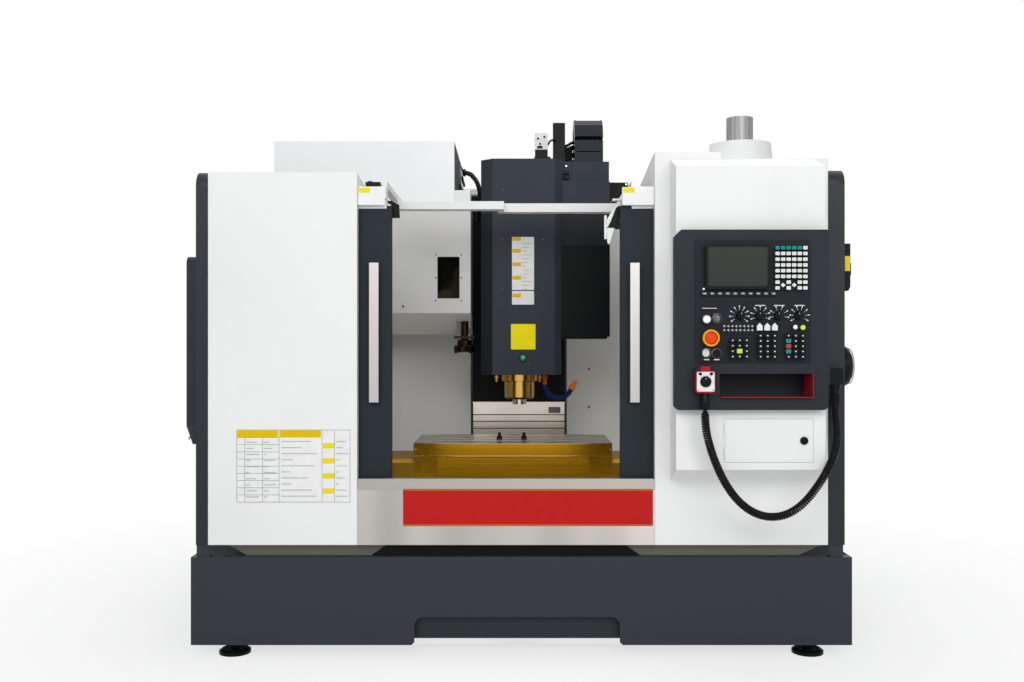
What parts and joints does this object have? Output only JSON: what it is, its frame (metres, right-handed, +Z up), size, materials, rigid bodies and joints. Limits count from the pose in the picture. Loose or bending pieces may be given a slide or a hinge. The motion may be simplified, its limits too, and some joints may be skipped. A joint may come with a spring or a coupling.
{
  "type": "vertical machining center",
  "caption": "Enclosed vertical milling machine with sliding doors, cross table, spindle head, tool changer and operator pendant.",
  "frame": {"origin": "on the floor, under the middle of the machine's box", "axes": "+X to the operator's right, +Y into the machine, +Z up"},
  "size_m": [2.672, 2.5, 2.341],
  "materials": {
    "white_paint": "fine textured white powder coat",
    "dark_paint": "dark blue-grey textured powder coat",
    "grey_paint": "light grey paint",
    "cast_iron": "painted and machined cast iron",
    "machined_steel": "ground steel",
    "stainless": "brushed stainless sheet",
    "oiled_metal": "sheet metal under a golden rust-preventive oil film",
    "galvanised": "galvanised sheet",
    "black_plastic": "black moulded plastic",
    "plate_black": "black membrane plate",
    "red_plastic": "red mushroom head",
    "white_plastic": "white button",
    "glass": "clear safety glass",
    "blue_hose": "blue segmented hose",
    "rubber": "black rubber"
  },
  "bodies": {
    "root": {"levelling_feet": "rubber", "bed_casting": "cast_iron", "column_casting": "cast_iron", "linear_rails": "machined_steel", "axis_motors": "black_plastic", "skirt_panels": "dark_paint", "coolant_tank": "grey_paint", "front_panels": "white_paint", "side_panels": "dark_paint", "front_sill": "stainless", "roof_frame": "white_paint", "inner_liner": "grey_paint", "electrical_cabinet": "white_paint", "extraction_spigot": "white_paint", "operator_cabinet": "white_paint", "pendant_housing": "dark_paint", "operator_plates": "plate_black", "mpg_handset": "red_plastic", "mpg_cord": "rubber", "side_fittings": "black_plastic", "z_slat_fixed": "stainless", "magazine_cover": "white_paint"},
    "left_door": {"left_door": "dark_paint", "left_door_window": "glass", "left_door_handle": "stainless"},
    "right_door": {"right_door": "dark_paint", "right_door_window": "glass", "right_door_handle": "stainless"},
    "saddle": {"saddle": "cast_iron", "x_cover_ends": "oiled_metal"},
    "table": {"table": "machined_steel", "table_apron": "oiled_metal"},
    "x_cover_left": {"x_cover_left": "oiled_metal"},
    "x_cover_right": {"x_cover_right": "oiled_metal"},
    "head": {"headstock": "cast_iron", "head_cover": "dark_paint", "spindle_housing": "oiled_metal", "z_cover_top": "dark_paint", "coolant_nozzle": "blue_hose", "cable_chain": "black_plastic"},
    "spindle": {"spindle_shaft": "oiled_metal"},
    "z_slat": {"z_slat_sliding": "stainless"},
    "x_screw": {"x_ballscrew": "machined_steel"},
    "y_screw": {"y_ballscrew": "machined_steel"},
    "z_screw": {"z_ballscrew": "machined_steel"},
    "magazine": {"magazine_disc": "machined_steel"},
    "tool_arm": {"tool_arm": "machined_steel"},
    "estop": {"estop_button": "red_plastic"},
    "white_button": {"white_button": "white_plastic"},
    "dark_button": {"dark_button": "black_plastic"},
    "key_switch": {"key_switch": "black_plastic"},
    "selector_1": {"selector_1": "black_plastic"},
    "selector_2": {"selector_2": "black_plastic"},
    "selector_3": {"selector_3": "black_plastic"},
    "selector_4": {"selector_4": "black_plastic"},
    "mpg_dial": {"mpg_dial": "black_plastic"},
    "access_door": {"access_door": "white_paint"},
    "access_latch": {"access_latch": "black_plastic"},
    "cabinet_door": {"cabinet_door": "white_paint"},
    "main_switch": {"main_switch": "black_plastic"}
  },
  "joints": [
    {"name": "left_door_slide", "type": "slide", "parent": "root", "child": "left_door", "axis": [1, 0, 0], "range_m": [0, 0.455]},
    {"name": "right_door_slide", "type": "slide", "parent": "root", "child": "right_door", "axis": [-1, 0, 0], "range_m": [0, 0.452]},
    {"name": "y_slide", "type": "slide", "parent": "root", "child": "saddle", "axis": [0, 1, 0], "range_m": [-0.08, 0.4]},
    {"name": "x_slide", "type": "slide", "parent": "saddle", "child": "table", "axis": [1, 0, 0], "range_m": [-0.367, 0.433]},
    {"name": "x_cover_left_slide", "type": "slide", "parent": "saddle", "child": "x_cover_left", "axis": [1, 0, 0], "range_m": [-0.239, 0.282]},
    {"name": "x_cover_right_slide", "type": "slide", "parent": "saddle", "child": "x_cover_right", "axis": [1, 0, 0], "range_m": [-0.239, 0.282]},
    {"name": "z_slide", "type": "slide", "parent": "root", "child": "head", "axis": [0, 0, 1], "range_m": [-0.03, 0.47], "deforming": ["cable_chain"]},
    {"name": "spindle_turn", "type": "hinge", "parent": "head", "child": "spindle", "pos_m": [0, 0.04, 1], "axis": [0, 0, 1], "continuous": true},
    {"name": "z_slat_slide", "type": "slide", "parent": "root", "child": "z_slat", "axis": [0, 0, 1], "range_m": [-0.0155, 0.2355]},
    {"name": "x_screw_turn", "type": "hinge", "parent": "saddle", "child": "x_screw", "pos_m": [0, -0.13, 0.596], "axis": [1, 0, 0], "range_deg": [-13213, 15589]},
    {"name": "y_screw_turn", "type": "hinge", "parent": "root", "child": "y_screw", "pos_m": [0, -0.1, 0.4], "axis": [0, 1, 0], "range_deg": [-2881, 14401]},
    {"name": "z_screw_turn", "type": "hinge", "parent": "root", "child": "z_screw", "pos_m": [0, 0.63, 1.4], "axis": [0, 0, 1], "range_deg": [-1081, 16921]},
    {"name": "magazine_turn", "type": "hinge", "parent": "root", "child": "magazine", "pos_m": [-0.545, 0.05, 1.7], "axis": [0, 1, 0], "continuous": true},
    {"name": "arm_extend", "type": "slide", "parent": "root", "child": "tool_arm", "axis": [0, 0, -1], "range_m": [0, 0.1]},
    {"name": "estop_push", "type": "slide", "parent": "root", "child": "estop", "axis": [0, 1, 0], "range_m": [0, 0.006], "stiffness_N_per_m": 1500},
    {"name": "white_button_push", "type": "slide", "parent": "root", "child": "white_button", "axis": [0, 1, 0], "range_m": [0, 0.0035], "stiffness_N_per_m": 600},
    {"name": "dark_button_push", "type": "slide", "parent": "root", "child": "dark_button", "axis": [0, 1, 0], "range_m": [0, 0.0035], "stiffness_N_per_m": 600},
    {"name": "key_switch_turn", "type": "hinge", "parent": "root", "child": "key_switch", "pos_m": [0.7234, -1.199, 1.3242], "axis": [0, 1, 0], "range_deg": [0, 90]},
    {"name": "selector_1_turn", "type": "hinge", "parent": "root", "child": "selector_1", "pos_m": [0.8135, -1.199, 1.3338], "axis": [0, 1, 0], "range_deg": [-135, 135]},
    {"name": "selector_2_turn", "type": "hinge", "parent": "root", "child": "selector_2", "pos_m": [0.8828, -1.199, 1.3338], "axis": [0, 1, 0], "range_deg": [-135, 135]},
    {"name": "selector_3_turn", "type": "hinge", "parent": "root", "child": "selector_3", "pos_m": [0.9528, -1.199, 1.3338], "axis": [0, 1, 0], "range_deg": [-135, 135]},
    {"name": "selector_4_turn", "type": "hinge", "parent": "root", "child": "selector_4", "pos_m": [1.028, -1.199, 1.3338], "axis": [0, 1, 0], "range_deg": [-135, 135]},
    {"name": "mpg_dial_turn", "type": "hinge", "parent": "root", "child": "mpg_dial", "pos_m": [0.676, -1.25, 1.09], "axis": [0, 1, 0], "continuous": true},
    {"name": "access_door_turn", "type": "hinge", "parent": "root", "child": "access_door", "pos_m": [0.766, -1.1534, 0.864], "axis": [0, 0, -1], "range_deg": [0, 100]},
    {"name": "access_latch_turn", "type": "hinge", "parent": "access_door", "child": "access_latch", "pos_m": [1.064, -1.155, 0.864], "axis": [0, 1, 0], "range_deg": [0, 90]},
    {"name": "cabinet_door_turn", "type": "hinge", "parent": "root", "child": "cabinet_door", "pos_m": [0.561, 1.227, 1.27], "axis": [0, 0, -1], "range_deg": [0, 110]},
    {"name": "main_switch_turn", "type": "hinge", "parent": "root", "child": "main_switch", "pos_m": [1.31, -0.875, 1.53], "axis": [1, 0, 0], "range_deg": [0, 90]}
  ],
  "couplings": [
    {"joint": "x_cover_left_slide", "follows": "x_slide", "ratio": 0.65},
    {"joint": "x_cover_right_slide", "follows": "x_slide", "ratio": 0.65},
    {"joint": "z_slat_slide", "follows": "z_slide", "ratio": 0.5},
    {"joint": "x_screw_turn", "follows": "x_slide", "rad_per_m": 628.32},
    {"joint": "y_screw_turn", "follows": "y_slide", "rad_per_m": 628.32},
    {"joint": "z_screw_turn", "follows": "z_slide", "rad_per_m": 628.32}
  ]
}
